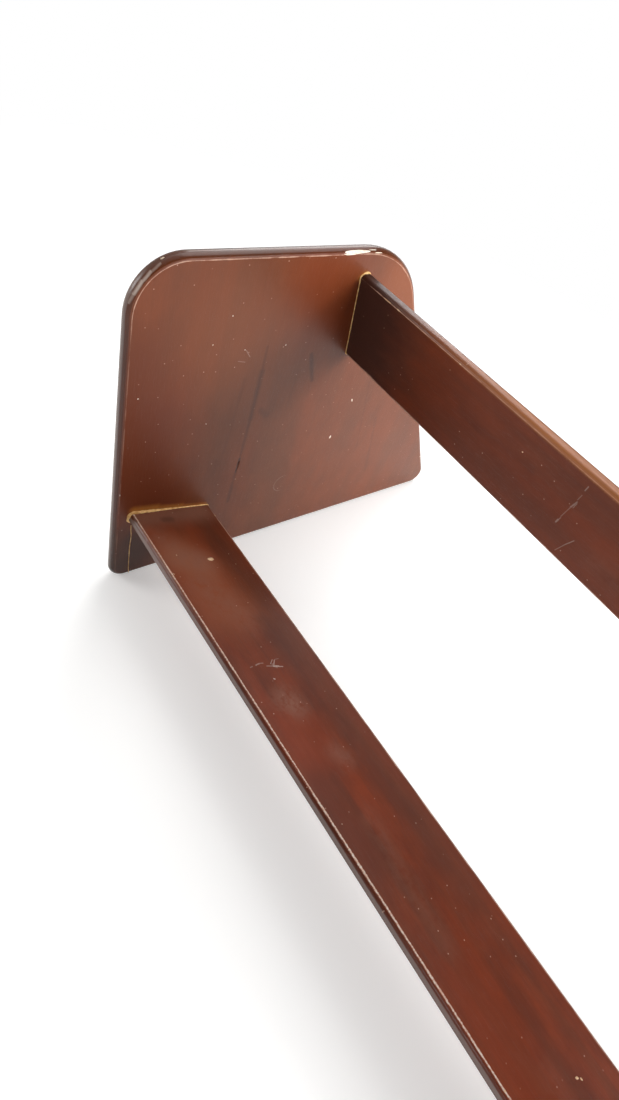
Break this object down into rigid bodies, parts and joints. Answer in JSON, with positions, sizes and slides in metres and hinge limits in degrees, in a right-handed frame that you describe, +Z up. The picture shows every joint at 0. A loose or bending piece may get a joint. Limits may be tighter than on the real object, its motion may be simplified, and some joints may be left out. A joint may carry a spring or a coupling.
{
  "type": "two-rail wooden stand",
  "caption": "Low free-standing wooden stand: rounded end panels joined by a flat slat that slopes down to the back and a rail on edge above and behind it.",
  "frame": {"origin": "on the floor, midway between the end panels and midway along their depth", "axes": "+Z up, +X from the left end to the right end, -Y towards the front, where the slat is"},
  "size_m": [0.6, 0.35, 0.26],
  "materials": {
    "stained_wood": "dark reddish brown stain under a worn gloss varnish",
    "dowel_wood": "plain pale hardwood, unfinished"
  },
  "bodies": {
    "root": {"left_panel": "stained_wood", "right_panel": "stained_wood", "front_slat": "stained_wood", "back_rail": "stained_wood", "slat_dowel_left_1": "dowel_wood", "slat_dowel_left_2": "dowel_wood", "slat_dowel_right_1": "dowel_wood", "slat_dowel_right_2": "dowel_wood", "rail_dowel_left_1": "dowel_wood", "rail_dowel_left_2": "dowel_wood", "rail_dowel_right_1": "dowel_wood", "rail_dowel_right_2": "dowel_wood"}
  },
  "joints": []
}
